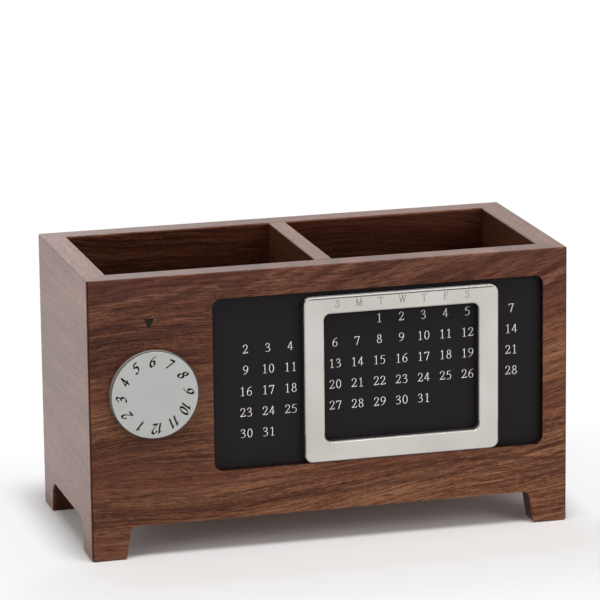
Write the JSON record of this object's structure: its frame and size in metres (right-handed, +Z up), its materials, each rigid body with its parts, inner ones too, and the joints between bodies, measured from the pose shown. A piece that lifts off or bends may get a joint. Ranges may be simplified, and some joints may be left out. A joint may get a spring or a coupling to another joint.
{
  "type": "desk organizer with perpetual calendar",
  "caption": "Rectangular walnut desk organizer on arched feet, open top with two compartments, sliding weekday frame over a black date plate and a round rotating month dial.",
  "frame": {"origin": "on the desk, under the middle of the bounding box, which includes the dial's stand-out", "axes": "+X right along the calendar front, +Y from front to back, +Z up"},
  "size_m": [0.2, 0.0952, 0.1155],
  "materials": {
    "walnut_front": "satin varnished walnut, grain along the length",
    "walnut_end": "satin varnished walnut, grain running round the case",
    "walnut_back": "satin varnished walnut, grain along the length",
    "walnut_floor": "satin varnished walnut",
    "walnut_divider": "satin varnished walnut, grain front to back",
    "black_plate": "matt black coated steel sheet",
    "adhesive_pad": "thin adhesive foam",
    "brushed_steel": "fine brushed, matt",
    "nickel": "nickel plated",
    "dial_steel": "blasted, matt",
    "zinc_steel": "bright zinc plated",
    "brass": "turned",
    "nylon": "black nylon",
    "white_ink": "printed date numbers",
    "grey_ink": "fine etched weekday letters",
    "black_ink": "printed month numbers",
    "burnt_mark": "burnt engraving"
  },
  "bodies": {
    "case": {"front_panel": "walnut_front", "right_end_panel": "walnut_end", "back_panel": "walnut_back", "left_end_panel": "walnut_end", "floor_panel": "walnut_floor", "divider": "walnut_divider", "date_plate": "black_plate", "plate_pad": "adhesive_pad", "pivot_bush": "brass", "friction_washer": "nylon"},
    "week_frame": {"week_frame": "brushed_steel", "frame_magnets": "nickel"},
    "month_dial": {"month_dial": "dial_steel", "dial_stud": "zinc_steel", "back_washer": "zinc_steel", "lock_nut": "zinc_steel"}
  },
  "joints": [
    {"name": "week_slide", "type": "slide", "parent": "case", "child": "week_frame", "axis": [1, 0, 0], "range_m": [-0.03728, 0.01864]},
    {"name": "month_turn", "type": "hinge", "parent": "case", "child": "month_dial", "pos_m": [-0.0738, -0.0444, 0.0681], "axis": [0, 1, 0], "continuous": true}
  ]
}
